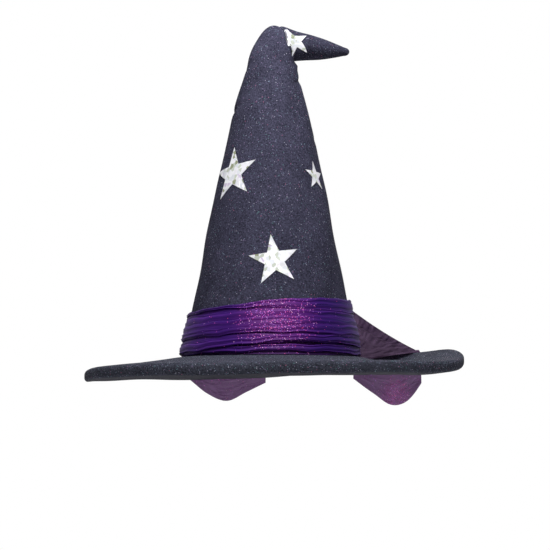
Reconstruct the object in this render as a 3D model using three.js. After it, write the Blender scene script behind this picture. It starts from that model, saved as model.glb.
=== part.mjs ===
// Witch hat of glitter foam: a rolled cone with a folded tip on a soft brim, a sheer scarf tied round
// the crown, and foil stars. Millimetres, +Z up, the front is -Y. The origin is the middle of the head
// opening, in the plane of the flat ring under the brim, where the head enters.
import * as THREE from "three";
import { TessellateModifier } from "three/addons/modifiers/TessellateModifier.js";

// Foam sheet and glue lines
const FOAM = 12.5; // half-inch foam sheet
const GAP = 0.3; // glue line or slip between neighbours
const SEGMENTS = 60; // facets round the hat

// Crown: an oval cone whose top is folded over
const CROWN_BASE_RADIUS = 98; // outside, across the head
const CROWN_BASE_HEIGHT = FOAM + GAP; // the cone stands on the brim
const OVAL_EXTRA = 12; // how much longer than wide each half of the opening is
const OVAL_ENDS_AT = 260; // height where the cone has become round
const FOLD_HEIGHT = 344; // where the cone starts to bend
const FOLD_RADIUS = 28.5; // bend radius of the cone's middle line
const FOLD_BEARING = THREE.MathUtils.degToRad(32); // the tip points right and a little back
const CREASE_LOW = 350; // where the crease is on the inner side of the bend, along the cone
const CREASE_HIGH = 375; // and on its outer side, the ridge
const CREASE_GAP = 1.2; // across the crease at the ridge and the sides
const CREASE_PINCH = 5; // and this much more on the inner side, where the bend squeezes it
const TIP_LENGTH = 469; // middle line from the base plane to the very end
const TIP_RISE = 2.5; // how far the end of the tip curls up again
const TIP_CAP = 7; // length of the rounded end

// Outside radius against distance up the middle line
const CROWN_HEIGHTS = [CROWN_BASE_HEIGHT, 110, 163, 217, 272, 300, 328, FOLD_HEIGHT, 376, 407, 431, 457, TIP_LENGTH];
const CROWN_RADII = [CROWN_BASE_RADIUS, 79, 69.3, 58.3, 46.6, 39.8, 32, 27.9, 21.4, 15.6, 12, 6.2, 3.2];

// Brim: a foam ring that droops on the left and curls up on the right
const BRIM_RADIUS = 210.5;
const BRIM_SHIFT = 4; // the ring is cut a little wider on the right
const BRIM_END_EXTRA = 3.5; // how much longer than wide each half of the rim is
const BRIM_EDGE_ROUND = 4;
const BRIM_FLAT_RADIUS = CROWN_BASE_RADIUS + 3.5; // flat this far out, where the cone is glued on
const HOLE_RADIUS = CROWN_BASE_RADIUS - FOAM;
// Height of the rim's underside round the hat: low on the left, and curled up on the right and behind it
const RIM_BEARINGS = [-180, -135, -90, -45, -20, 0, 18, 40, 65, 90, 135];
const RIM_HEIGHTS = [-14.5, -11.4, -8.5, -6.5, -2.5, 6, 13, 10, 0, -7, -11.4];

// Lining pieces
const BAND_THICKNESS = 1.6;
const BAND_TOP = 42;
const BAND_BOTTOM = 1;
const TAPE_THICKNESS = 0.8;
const TAPE_WIDTH = 22;
const TAPE_FROM = 50;
const TAPE_TO = 325;
const LABEL = { width: 30, height: 22, thickness: 0.8 };

// Scarf
const SCARF_BOTTOM = FOAM + 0.5;
const SCARF_MIDDLE = 43; // where the two turns meet at the front
const SCARF_TOP = 70; // at the front
const SCARF_TILT = 6.5; // the top edge climbs to the right by this much, and drops as much to the left
const SCARF_THICKNESS = 5.2; // gathered layers, on the front
const SCARF_BUNCHING = 0.45; // the layers bunch up by this share towards the knot
const KNOT_BEARING = THREE.MathUtils.degToRad(66);
const KNOT_HEIGHT = 46;
const KNOT_HALF = { across: 17, deep: 10, tall: 14 };
const CLOTH = 1.5; // sheer cloth, with the folds that lie in it

// Foil stars: bearing round the cone, distance up it, size to a point, and turn
const STAR_THICKNESS = 0.5;
const STAR_WAIST = 0.39; // inner corners, as a share of the points
const STARS = {
  star_front_low: { bearing: -87, height: 114, size: 27.3, turn: 8 },
  star_front_left: { bearing: -134, height: 213, size: 31, turn: 8 },
  star_front_right: { bearing: -35, height: 212, size: 16.8, turn: 0 },
  star_tip: { bearing: -62, height: 382, size: 23.5, turn: -38 }, // tucked into the crease
  star_back_left: { bearing: 140, height: 268, size: 25, turn: 5 },
  star_back_right: { bearing: 30, height: 240, size: 23, turn: -10 },
  star_back_low: { bearing: 105, height: 150, size: 29, turn: 12 },
};

// Colours and finishes
const foam = new THREE.MeshStandardMaterial({ color: 0x2b2937, roughness: 0.9 });
const organza = new THREE.MeshStandardMaterial({ color: 0x4b1d66, roughness: 0.5 });
const foil = new THREE.MeshStandardMaterial({ color: 0xd9dce2, roughness: 0.2, metalness: 1 });
const lining = new THREE.MeshStandardMaterial({ color: 0x17161c, roughness: 0.85 });
const tape = new THREE.MeshStandardMaterial({ color: 0x201f26, roughness: 0.7 });

const hat = new THREE.Group();

function add(name, geometry, material) {
  geometry.deleteAttribute("normal");
  geometry.deleteAttribute("uv");
  const mesh = new THREE.Mesh(geometry, material);
  mesh.name = name;
  hat.add(mesh);
  return mesh;
}

// Sends every vertex of a geometry through a function from Vector3 to Vector3.
function warp(geometry, map) {
  const position = geometry.getAttribute("position");
  const point = new THREE.Vector3();
  for (let i = 0; i < position.count; i++) {
    point.fromBufferAttribute(position, i);
    const moved = map(point);
    position.setXYZ(i, moved.x, moved.y, moved.z);
  }
  return geometry;
}

// A ring of revolution about +Z from a profile of [radius, height] pairs, closed on itself.
function ring(profile, segments = SEGMENTS) {
  const points = [...profile, profile[0]].map(([radius, height]) => new THREE.Vector2(radius, height));
  return new THREE.LatheGeometry(points, segments).rotateX(Math.PI / 2);
}

const steps = (from, to, count) => Array.from({ length: count + 1 }, (_, i) => from + ((to - from) * i) / count);

// ---- The crown's surface ----

const radiusCurve = new THREE.CubicInterpolant(CROWN_HEIGHTS, CROWN_RADII, 1);
const crownRadius = (along) => radiusCurve.evaluate(Math.max(along, CROWN_BASE_HEIGHT))[0];

// Half of the difference between the cone's length and width at a height
const ovalExtra = (height) => OVAL_EXTRA * Math.max(0, 1 - Math.max(height, 0) / OVAL_ENDS_AT) ** 1.3;

const STRAIGHT_LENGTH = TIP_LENGTH - FOLD_HEIGHT - (FOLD_RADIUS * Math.PI) / 2; // of the tip, past the bend

// Bends what is above the fold through a quarter turn, towards the fold's bearing.
function foldOver(x, y, along) {
  if (along <= FOLD_HEIGHT) return new THREE.Vector3(x, y, along);
  const [c, s] = [Math.cos(FOLD_BEARING), Math.sin(FOLD_BEARING)];
  const inward = FOLD_RADIUS - (x * c + y * s);
  const sideways = y * c - x * s;
  const angle = Math.min((along - FOLD_HEIGHT) / FOLD_RADIUS, Math.PI / 2);
  const straight = along - FOLD_HEIGHT - FOLD_RADIUS * angle;
  const out = FOLD_RADIUS - inward * Math.cos(angle) + straight;
  const up = FOLD_HEIGHT + inward * Math.sin(angle) + TIP_RISE * (straight / STRAIGHT_LENGTH) ** 2;
  return new THREE.Vector3(out * c - sideways * s, out * s + sideways * c, up);
}

// The point at a bearing and a distance up the cone, and this far out from its outside.
function onCrown(bearing, along, standoff = 0) {
  const radius = crownRadius(along) + standoff;
  const y = (radius + ovalExtra(along)) * Math.sin(bearing);
  return foldOver(radius * Math.cos(bearing), y, along);
}

// Folds and ovals a plain ring whose vertices are [radius, distance up the cone].
const asCrown = (p) => {
  const bearing = Math.atan2(p.y, p.x);
  return onCrown(bearing, p.z, Math.hypot(p.x, p.y) - crownRadius(p.z));
};

// 0 on the ridge, the outer side of the bend, and 1 on its inner side
const innerShare = (bearing) => (1 + Math.cos(bearing - FOLD_BEARING)) / 2;
const creaseStart = (bearing) => THREE.MathUtils.lerp(CREASE_HIGH, CREASE_LOW, innerShare(bearing) ** 2);
const creaseEnd = (bearing) => creaseStart(bearing) + CREASE_GAP + CREASE_PINCH * innerShare(bearing) ** 2;

const SQUEEZE_FROM = 320; // the cone's rings are level up to here, and tilt to meet the crease
const SQUEEZE_TO = 400; // and the tip's are square past here

function crownCone() {
  const lower = [CROWN_BASE_HEIGHT, 60, 110, 160, 210, 256, 285, 312, 330, FOLD_HEIGHT];
  const bend = steps(FOLD_HEIGHT, CREASE_HIGH, 5).slice(1);
  const outside = [...lower, ...bend].map((along) => [crownRadius(along), along]);
  const innerHeights = [CROWN_BASE_HEIGHT, 85, 160, 225, 285, 320, FOLD_HEIGHT, ...bend];
  const inside = innerHeights.map((along) => [crownRadius(along) - FOAM, along]);
  return warp(ring([...outside, ...inside.reverse()]), (p) => {
    const bearing = Math.atan2(p.y, p.x);
    const share = Math.max(0, (p.z - SQUEEZE_FROM) / (CREASE_HIGH - SQUEEZE_FROM));
    const along = p.z - share * (CREASE_HIGH - creaseStart(bearing));
    return onCrown(bearing, along, Math.hypot(p.x, p.y) - crownRadius(p.z));
  });
}

// The tip is solid: rolled this tight, the foam closes on itself.
function crownTip() {
  const capStart = TIP_LENGTH - TIP_CAP;
  const body = steps(CREASE_HIGH, capStart, 15).map((along) => [crownRadius(along), along]);
  const cap = steps(0, Math.PI / 2, 4).slice(1, -1);
  const end = cap.map((a) => [crownRadius(capStart) * Math.cos(a), capStart + TIP_CAP * Math.sin(a)]);
  const face = [0, crownRadius(CREASE_HIGH) / 2].map((radius) => [radius, CREASE_HIGH]);
  const profile = [...face, ...body, ...end, [0, TIP_LENGTH]];
  const points = profile.map(([radius, along]) => new THREE.Vector2(radius, along));
  return warp(new THREE.LatheGeometry(points, 48).rotateX(Math.PI / 2), (p) => {
    const bearing = Math.atan2(p.y, p.x);
    const fromMiddle = Math.hypot(p.x, p.y) / crownRadius(p.z);
    const share = fromMiddle * Math.max(0, (SQUEEZE_TO - p.z) / (SQUEEZE_TO - CREASE_HIGH));
    const along = p.z + share * (creaseEnd(bearing) - CREASE_HIGH);
    return onCrown(bearing, along, fromMiddle * crownRadius(along) - crownRadius(along));
  });
}

// ---- Brim ----

// How high the rim's underside stands at a bearing
const rimCurve = new THREE.CubicInterpolant(
  [-360, 0, 360].flatMap((turn) => RIM_BEARINGS.map((bearing) => bearing + turn)),
  [...RIM_HEIGHTS, ...RIM_HEIGHTS, ...RIM_HEIGHTS],
  1,
);
const rimHeight = (a) => rimCurve.evaluate(THREE.MathUtils.radToDeg(a))[0];

// Height of the brim's underside at a bearing and a share t of the way from the crown to the rim:
// it hangs a little between the two, and the curl on the right comes late
const brimHeight = (a, t) => rimHeight(a) * t ** (2 + Math.cos(a)) - (4 + 3.3 * Math.cos(a)) * Math.sin(Math.PI * t);

// The point at a bearing and a plain radius on the ring, and this far above its underside.
function onBrim(bearing, radius, above = 0) {
  const t = Math.max(0, (radius - BRIM_FLAT_RADIUS) / (BRIM_RADIUS - BRIM_FLAT_RADIUS));
  const extra = THREE.MathUtils.lerp(OVAL_EXTRA, BRIM_END_EXTRA, Math.min(t, 1));
  const x = radius * Math.cos(bearing) + BRIM_SHIFT * t;
  return new THREE.Vector3(x, (radius + extra) * Math.sin(bearing), brimHeight(bearing, Math.min(t, 1)) + above);
}

function brimRing() {
  const round = BRIM_EDGE_ROUND;
  const flatTo = BRIM_RADIUS - round;
  const radii = [HOLE_RADIUS, BRIM_FLAT_RADIUS, ...steps(BRIM_FLAT_RADIUS, flatTo, 6).slice(1)];
  const corner = steps(0, Math.PI / 2, 3).slice(1);
  const lower = corner.map((a) => [flatTo + round * Math.sin(a), round - round * Math.cos(a)]);
  const upper = corner.map((a) => [flatTo + round * Math.cos(a), FOAM - round + round * Math.sin(a)]);
  const bottom = radii.map((radius) => [radius, 0]);
  const top = radii.slice(0, -1).map((radius) => [radius, FOAM]);
  const edge = [BRIM_RADIUS, FOAM - round];
  const profile = [...bottom, ...lower, edge, ...upper, ...top.reverse()];
  return warp(ring(profile, 72), (p) => onBrim(Math.atan2(p.y, p.x), Math.hypot(p.x, p.y), p.z));
}

// ---- Lining ----

function sweatband() {
  const outer = -FOAM - GAP;
  const inner = outer - BAND_THICKNESS;
  const heights = [BAND_BOTTOM, CROWN_BASE_HEIGHT, BAND_TOP];
  const wall = (standoff) => heights.map((height) => [crownRadius(height) + standoff, height]);
  return warp(ring([...wall(outer), ...wall(inner).reverse()]), asCrown);
}

// A patch lying on the cone: x runs round it, y up it and z out from its surface.
function patch(geometry, bearing, along, standoff) {
  const radius = crownRadius(along) + standoff;
  return warp(geometry, (p) => onCrown(bearing + p.x / radius, along + p.y, standoff + p.z));
}

function seamTape() {
  const geometry = new THREE.BoxGeometry(TAPE_WIDTH, TAPE_TO - TAPE_FROM, TAPE_THICKNESS, 4, 12, 1);
  const radius = crownRadius(TAPE_FROM);
  const standoff = -FOAM - GAP - TAPE_THICKNESS;
  return warp(geometry, (p) => {
    const along = p.y + (TAPE_FROM + TAPE_TO) / 2;
    const bearing = Math.PI / 2 + p.x / Math.min(radius, crownRadius(along) - FOAM);
    return onCrown(bearing, along, standoff + p.z);
  });
}

function careLabel() {
  const geometry = new THREE.BoxGeometry(LABEL.width, LABEL.height, LABEL.thickness, 6, 2, 1);
  const standoff = -FOAM - BAND_THICKNESS - 2 * GAP - LABEL.thickness;
  return patch(geometry, Math.PI / 2, BAND_TOP - LABEL.height, standoff);
}

// ---- Scarf ----

// How high the scarf's top edge stands at a bearing
const scarfTop = (bearing) => SCARF_TOP + SCARF_TILT * Math.cos(bearing);

// One turn of the scarf between two shares of its height, drawn as a ring in plain [depth, share]
// coordinates and then laid on the cone with three soft folds.
function scarfTurn(from, to, foldPhase) {
  const depthBase = 100;
  const outside = steps(from, to, 9).map((v) => {
    const lump = 0.72 + 0.28 * Math.cos(2 * Math.PI * (3 * (v - from)) / (to - from) + foldPhase);
    return [depthBase + SCARF_THICKNESS * lump, v];
  });
  const inside = steps(to, from, 3).map((v) => [depthBase, v]);
  return warp(ring([...outside, ...inside], 48), (p) => {
    const bearing = Math.atan2(p.y, p.x);
    const height = SCARF_BOTTOM + p.z * (scarfTop(bearing) - SCARF_BOTTOM);
    const bunching = 1 + SCARF_BUNCHING * Math.cos(bearing - KNOT_BEARING / 2);
    return onCrown(bearing, height, GAP + (Math.hypot(p.x, p.y) - depthBase) * bunching);
  });
}

const knotStandoff = SCARF_THICKNESS * (1 + SCARF_BUNCHING) + 2 * GAP + KNOT_HALF.deep;

function knot() {
  const geometry = new THREE.SphereGeometry(1, 20, 12);
  geometry.scale(KNOT_HALF.deep, KNOT_HALF.across, KNOT_HALF.tall);
  const lean = Math.atan2(crownRadius(20) - crownRadius(70), 50);
  geometry.rotateY(-lean).rotateZ(KNOT_BEARING);
  const middle = onCrown(KNOT_BEARING, KNOT_HEIGHT, knotStandoff);
  return geometry.translate(middle.x, middle.y, middle.z);
}

// Each tail leaves the band beside the knot, along a line between two bearings and two heights, spreads
// over the brim to the rim between two more bearings, and hangs past it in a corner. hang gives the
// lowest height at five even shares across.
const TAILS = {
  right: { root: [29, 52], height: [75, 24], rim: [34, 62], sag: [4, 0], hang: [-15, -38, -41, -27, -9] },
  left: { root: [80, 101], height: [24, 64], rim: [93, 120], sag: [0, 4], hang: [-14, -26, -37, -28, -11] },
};
const ROOT_STANDOFF = 12;
const RIM_CLEAR = 1.2; // the cloth's underside over the rim
const degrees = THREE.MathUtils.degToRad;

const rimBearing = (tail, u) => degrees(THREE.MathUtils.lerp(tail.rim[0], tail.rim[1], u));

// A point of the upper tail: u across, from the side nearer the front, and v from the knot to the rim.
function tailPoint(side, u, v) {
  const tail = TAILS[side];
  const { lerp } = THREE.MathUtils;
  const start = onCrown(degrees(lerp(...tail.root, u)), lerp(...tail.height, u), ROOT_STANDOFF);
  const end = onBrim(rimBearing(tail, u), BRIM_RADIUS - 3, FOAM + RIM_CLEAR + CLOTH / 2);
  const point = start.lerp(end, v);
  point.z -= lerp(...tail.sag, u) * Math.sin(Math.PI * v);
  return point;
}

// The upper tail's own upward direction, square to the cloth
function tailNormal(side, u, v) {
  const step = 0.01;
  const across = tailPoint(side, u + step, v).sub(tailPoint(side, u - step, v));
  const down = tailPoint(side, u, v + step).sub(tailPoint(side, u, v - step));
  return down.cross(across).normalize();
}

// A point of the hanging end: w runs down from the rim's edge to the tail's own bottom edge.
function endPoint(side, u, w, out) {
  const tail = TAILS[side];
  const top = onBrim(rimBearing(tail, u), BRIM_RADIUS + RIM_CLEAR + out, FOAM - 2.5);
  const at = u * (tail.hang.length - 1);
  const i = Math.min(Math.floor(at), tail.hang.length - 2);
  const bottom = THREE.MathUtils.lerp(tail.hang[i], tail.hang[i + 1], at - i);
  top.z += (bottom - top.z) * w;
  return top;
}

function tail(side) {
  const geometry = new THREE.BoxGeometry(1, 1, CLOTH, 8, 6, 1);
  return warp(geometry, (p) => {
    const [u, v] = [0.5 - p.x, p.y + 0.5];
    return tailPoint(side, u, v).addScaledVector(tailNormal(side, u, v), p.z);
  });
}

function tailEnd(side) {
  const geometry = new THREE.BoxGeometry(1, 1, CLOTH, 8, 3, 1);
  return warp(geometry, (p) => endPoint(side, 0.5 + p.x, 0.5 - p.y, p.z + CLOTH / 2));
}

// ---- Stars ----

function starOutline(size, turn) {
  const points = Array.from({ length: 10 }, (_, i) => {
    const reach = i % 2 ? size * STAR_WAIST : size;
    const angle = degrees(90 + turn + 36 * i);
    return new THREE.Vector2(reach * Math.cos(angle), reach * Math.sin(angle));
  });
  return points;
}

// The part of an outline where a height above some line is not negative
function cutBelow(points, above) {
  return points.flatMap((a, i) => {
    const b = points[(i + 1) % points.length];
    const [ha, hb] = [above(a), above(b)];
    const kept = ha >= 0 ? [a] : [];
    return ha >= 0 !== hb >= 0 ? [...kept, a.clone().lerp(b, ha / (ha - hb))] : kept;
  });
}

function star({ bearing, height, size, turn }) {
  const options = { depth: STAR_THICKNESS, bevelEnabled: false };
  const middle = degrees(bearing);
  const pastCrease = (p) => height + p.y - creaseEnd(middle + p.x / crownRadius(height)) - 1;
  const whole = starOutline(size, turn);
  const outline = height > FOLD_HEIGHT ? cutBelow(whole, pastCrease) : whole;
  const flat = new THREE.ExtrudeGeometry(new THREE.Shape(outline), options);
  const fine = new TessellateModifier(size / 5, 7).modify(flat);
  return patch(fine, middle, height, GAP + 0.1);
}

add("crown_cone", crownCone(), foam);
add("crown_tip", crownTip(), foam);
add("brim", brimRing(), foam);
add("sweatband", sweatband(), lining);
add("crown_seam_tape", seamTape(), tape);
add("care_label", careLabel(), tape);
add("scarf_lower_turn", scarfTurn(0, (SCARF_MIDDLE - SCARF_BOTTOM) / (SCARF_TOP - SCARF_BOTTOM) - 0.005, 0), organza);
add("scarf_upper_turn", scarfTurn((SCARF_MIDDLE - SCARF_BOTTOM) / (SCARF_TOP - SCARF_BOTTOM) + 0.005, 1, 1.2), organza);
add("scarf_knot", knot(), organza);
for (const side of ["right", "left"]) {
  add(`scarf_tail_${side}`, tail(side), organza);
  add(`scarf_tail_${side}_end`, tailEnd(side), organza);
}
for (const [name, place] of Object.entries(STARS)) add(name, star(place), foil);

export default hat;
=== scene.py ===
# %% [markdown]
# # A foam witch hat
#
# The real hat is a half-inch sheet of glitter-faced foam, rolled into a tall cone and glued to a soft
# ring of a brim. The top of the cone is folded over, a strip of sheer organza is wound round the bottom
# and tied behind, and foil stars are stuck on. Each of those pieces is one surface here, worked out as a
# function of two parameters, so its shape can be read, and changed, as a formula.

import bmesh
import bpy
import numpy as np
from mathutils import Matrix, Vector


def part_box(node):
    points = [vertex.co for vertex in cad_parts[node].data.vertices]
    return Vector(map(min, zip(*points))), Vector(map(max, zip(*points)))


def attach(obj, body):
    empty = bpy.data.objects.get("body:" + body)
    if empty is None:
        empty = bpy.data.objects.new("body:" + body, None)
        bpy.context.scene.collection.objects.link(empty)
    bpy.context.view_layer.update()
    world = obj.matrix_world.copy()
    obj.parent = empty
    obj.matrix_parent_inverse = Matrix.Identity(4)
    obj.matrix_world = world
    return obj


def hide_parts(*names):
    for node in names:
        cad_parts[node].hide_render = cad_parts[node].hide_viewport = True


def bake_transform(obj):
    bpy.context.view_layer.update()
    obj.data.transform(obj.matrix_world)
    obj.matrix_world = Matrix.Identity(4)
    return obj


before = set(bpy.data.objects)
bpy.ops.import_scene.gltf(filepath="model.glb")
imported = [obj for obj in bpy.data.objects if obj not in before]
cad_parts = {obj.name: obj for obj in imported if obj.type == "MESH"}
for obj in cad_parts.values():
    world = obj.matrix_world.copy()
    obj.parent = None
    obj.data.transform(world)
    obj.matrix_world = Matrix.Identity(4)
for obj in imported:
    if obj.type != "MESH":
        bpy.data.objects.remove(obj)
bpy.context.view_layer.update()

# %% [markdown]
# ## The camera
#
# The hat is seen from just below its brim, from a metre and a half in front, so the brim reads as a thin
# line. The lens is long, which keeps the cone from tapering more than it really does.

# %% Camera
camera_data = bpy.data.cameras.new("camera")
camera_data.sensor_width = 36.0
camera_data.lens = 87.7
camera = bpy.data.objects.new("camera", camera_data)
bpy.context.scene.collection.objects.link(camera)
camera.location = (0.0048, -1.5, -0.026)
aim = Vector((0.0048, 0.0, 0.1052)) - camera.location
camera.rotation_euler = aim.to_track_quat("-Z", "Y").to_euler()
bpy.context.scene.camera = camera

# %% [markdown]
# ## Tools for surfaces
#
# A surface is an array of corners with one row for each step along it and one column for each step
# across. Four neighbours make a face. A tube's columns join up, and a row drawn together to a point is a
# pole, which is merged afterwards so that the surface closes.


# %% Turn a grid of corners into a mesh
def grid_mesh(name, corners, around=False, along=False, scale=(1.0, 1.0), flip=False):
    """A piece from corners[row, column]: each face joins four neighbours. around joins the last column to
    the first, and along the last row to the first. The UV map counts columns and rows, times scale."""
    rows, columns = corners.shape[:2]
    row_starts = np.arange(rows if along else rows - 1)
    column_starts = np.arange(columns if around else columns - 1)
    i, j = np.meshgrid(row_starts, column_starts, indexing="ij")
    steps = ((0, 0), (1, 0), (1, 1), (0, 1)) if flip else ((0, 0), (0, 1), (1, 1), (1, 0))
    corner_numbers = [(i + a) % rows * columns + (j + b) % columns for a, b in steps]
    faces = np.stack(corner_numbers, axis=-1).reshape(-1, 4)
    mesh = bpy.data.meshes.new(name)
    mesh.from_pydata(corners.reshape(-1, 3), [], faces)
    uv = np.stack([np.stack([(j + b) * scale[0], (i + a) * scale[1]], axis=-1) for a, b in steps], axis=2)
    mesh.uv_layers.new(name="cloth").data.foreach_set("uv", uv.astype(np.float32).ravel())
    merged = bmesh.new()
    merged.from_mesh(mesh)
    bmesh.ops.remove_doubles(merged, verts=merged.verts, dist=1e-6)
    merged.to_mesh(mesh)
    merged.free()
    mesh.shade_smooth()
    piece = bpy.data.objects.new(name, mesh)
    bpy.context.scene.collection.objects.link(piece)
    return piece


def smooth_steps(x, at, values):
    """A smooth curve through (at, values): between two points it is the cubic whose slope at each is that
    of the parabola through the point and its neighbours."""
    at, values = np.asarray(at, float), np.asarray(values, float)
    slopes = np.gradient(values, at)
    i = np.clip(np.searchsorted(at, x) - 1, 0, len(at) - 2)
    h = at[i + 1] - at[i]
    t = np.clip((x - at[i]) / h, 0, 1)
    rise = values[i + 1] - values[i]
    return values[i] + rise * t * t * (3 - 2 * t) + h * t * (1 - t) * (slopes[i] * (1 - t) - slopes[i + 1] * t)


def round_the_hat(bearing, at_degrees, values):
    """The same curve carried round the hat: the list is repeated a turn before and a turn after."""
    at = np.radians(np.concatenate([np.array(at_degrees) + turn for turn in (-360, 0, 360)]))
    return smooth_steps((bearing + np.pi) % (2 * np.pi) - np.pi, at, np.tile(values, 3))


def fade(x, start, end):
    """0 before start, 1 after end, and an even S between."""
    t = np.clip((x - start) / (end - start), 0, 1)
    return t * t * (3 - 2 * t)


def bump_at(x, middle, width):
    """A bell of height 1 at middle, about as wide as width."""
    return np.exp(-(((x - middle) / width) ** 2))


# %% [markdown]
# ## The cone's surface
#
# A place on the crown is a bearing round it, a distance up it and a height off it. The cone is a little
# longer than wide at its base, like a head, and round by two thirds of its height. Above the fold the
# distance runs on round a bend and out along the tip. These are the same lines that the CAD pieces
# follow, in metres.

# %% Where things are on the crown
FOAM = 0.0125
BASE = FOAM + 0.0003
FOLD_HEIGHT = 0.344
FOLD_RADIUS = 0.0285
FOLD_BEARING = np.radians(32)
CREASE_LOW, CREASE_HIGH = 0.350, 0.375
TIP_LENGTH, TIP_RISE = 0.469, 0.0025
UP_THE_CONE = np.array([12.8, 110, 163, 217, 272, 300, 328, 344, 376, 407, 431, 457, 469]) / 1000
CONE_RADII = np.array([98, 79, 69.3, 58.3, 46.6, 39.8, 32, 27.9, 21.4, 15.6, 12, 6.2, 3.2]) / 1000


def cone_radius(along):
    return smooth_steps(np.maximum(along, BASE), UP_THE_CONE, CONE_RADII)


def oval_extra(along):
    """Half of how much longer than wide the cone is, fading out with height."""
    return 0.012 * np.maximum(0, 1 - np.maximum(along, 0) / 0.26) ** 1.3


def fold_over(x, y, along):
    """Straight up to the fold, then a quarter of a circle towards the fold's bearing, then out along the
    tip, which climbs a little at the end."""
    c, s = np.cos(FOLD_BEARING), np.sin(FOLD_BEARING)
    angle = np.clip((along - FOLD_HEIGHT) / FOLD_RADIUS, 0, np.pi / 2)
    inward = FOLD_RADIUS - (x * c + y * s)
    sideways = y * c - x * s
    beyond = np.maximum(along - FOLD_HEIGHT - FOLD_RADIUS * angle, 0)
    out = FOLD_RADIUS - inward * np.cos(angle) + beyond
    climb = TIP_RISE * (beyond / (TIP_LENGTH - FOLD_HEIGHT - FOLD_RADIUS * np.pi / 2)) ** 2
    up = np.minimum(along, FOLD_HEIGHT) + inward * np.sin(angle) + climb
    return np.stack([out * c - sideways * s, out * s + sideways * c, up], axis=-1)


def on_crown(bearing, along, off=0.0):
    """The point at a bearing, a distance up the cone and a height off its outside."""
    radius = cone_radius(along) + off
    return fold_over(radius * np.cos(bearing), (radius + oval_extra(along)) * np.sin(bearing), along)


print("the cone's end is at", on_crown(0.0, TIP_LENGTH, -cone_radius(TIP_LENGTH)))

# %% [markdown]
# ## Colours and nodes
#
# Colours are written as they look on a screen, and Blender's shaders want them linear, so one function
# converts. One small function adds a node with its settings and its links, which keeps each material
# short enough to read.


# %% Material helpers
def linear(code, alpha=1.0):
    """An sRGB hex colour as the linear numbers that a shader uses."""
    levels = np.array([int(code[k : k + 2], 16) for k in (1, 3, 5)]) / 255
    return (*np.where(levels <= 0.04045, levels / 12.92, ((levels + 0.055) / 1.055) ** 2.4), alpha)


def add(tree, kind, inputs=(), **settings):
    """A node of that kind. settings are its own properties, and inputs maps a socket to a number, a colour
    or another node's output."""
    made = tree.nodes.new("ShaderNode" + kind)
    for name, value in settings.items():
        setattr(made, name, value)
    for name, value in dict(inputs).items():
        if isinstance(value, bpy.types.NodeSocket):
            tree.links.new(value, made.inputs[name])
        else:
            made.inputs[name].default_value = value
    return made


def new_material(name, inputs=()):
    """An empty material with a Principled shader wired to its output."""
    material = bpy.data.materials.new(name)
    material.use_nodes = True
    tree = material.node_tree
    tree.nodes.clear()
    shader = add(tree, "BsdfPrincipled", inputs)
    add(tree, "OutputMaterial", {"Surface": shader.outputs[0]})
    return material, tree, shader


def ramp(tree, factor, stops, mode="LINEAR"):
    """Colours or greys at places from 0 to 1."""
    made = add(tree, "ValToRGB", {"Fac": factor})
    made.color_ramp.interpolation = mode
    while len(made.color_ramp.elements) < len(stops):
        made.color_ramp.elements.new(1.0)
    for element, (place, colour) in zip(made.color_ramp.elements, stops):
        element.position = place
        element.color = colour if len(colour) == 4 else (*colour, 1.0)
    return made.outputs["Color"]


# %% [markdown]
# ## Glitter foam
#
# The sheet is polyurethane foam with a flocked face and fine glitter in the glue. The face is matt and
# slightly mottled, navy in one place and plum in the next, and the glitter gives it pinpoints of silver,
# pink and teal. Real grit is about 0.3 mm, too fine to show at this distance, so its grains are drawn
# 0.85 mm across on the foam and 1 mm on the scarf. The grains are cells of a Voronoi pattern: each cell
# has its own random colour, and only the few with a high enough number shine. The brim is cut from a
# sheet that is a little greyer and carries more glitter.


# %% Glitter foam material
FOAM_GRAIN, CLOTH_GRAIN = 0.00085, 0.0010


def glitter_grains(tree, place, size, share):
    """(mask, hue): cells size metres across, of which a share shine, each with a random number as hue.
    The share is a number or another node's output."""
    cells = add(tree, "TexVoronoi", {"Vector": place, "Scale": 1 / size, "Randomness": 1.0})
    parts = add(tree, "SeparateColor", {"Color": cells.outputs["Color"]})
    summed = add(tree, "Math", {0: parts.outputs["Red"], 1: share}, operation="ADD")
    picked = add(tree, "Math", {0: summed.outputs[0], 1: 1.0}, operation="GREATER_THAN")
    core = add(tree, "Math", {0: cells.outputs["Distance"], 1: 0.42}, operation="LESS_THAN")
    mask = add(tree, "Math", {0: picked.outputs[0], 1: core.outputs[0]}, operation="MULTIPLY")
    return mask.outputs[0], parts.outputs["Green"]


def mix_colour(tree, factor, a, b):
    made = add(tree, "Mix", {0: factor, 6: a, 7: b}, data_type="RGBA")
    return made.outputs[2]


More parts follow.
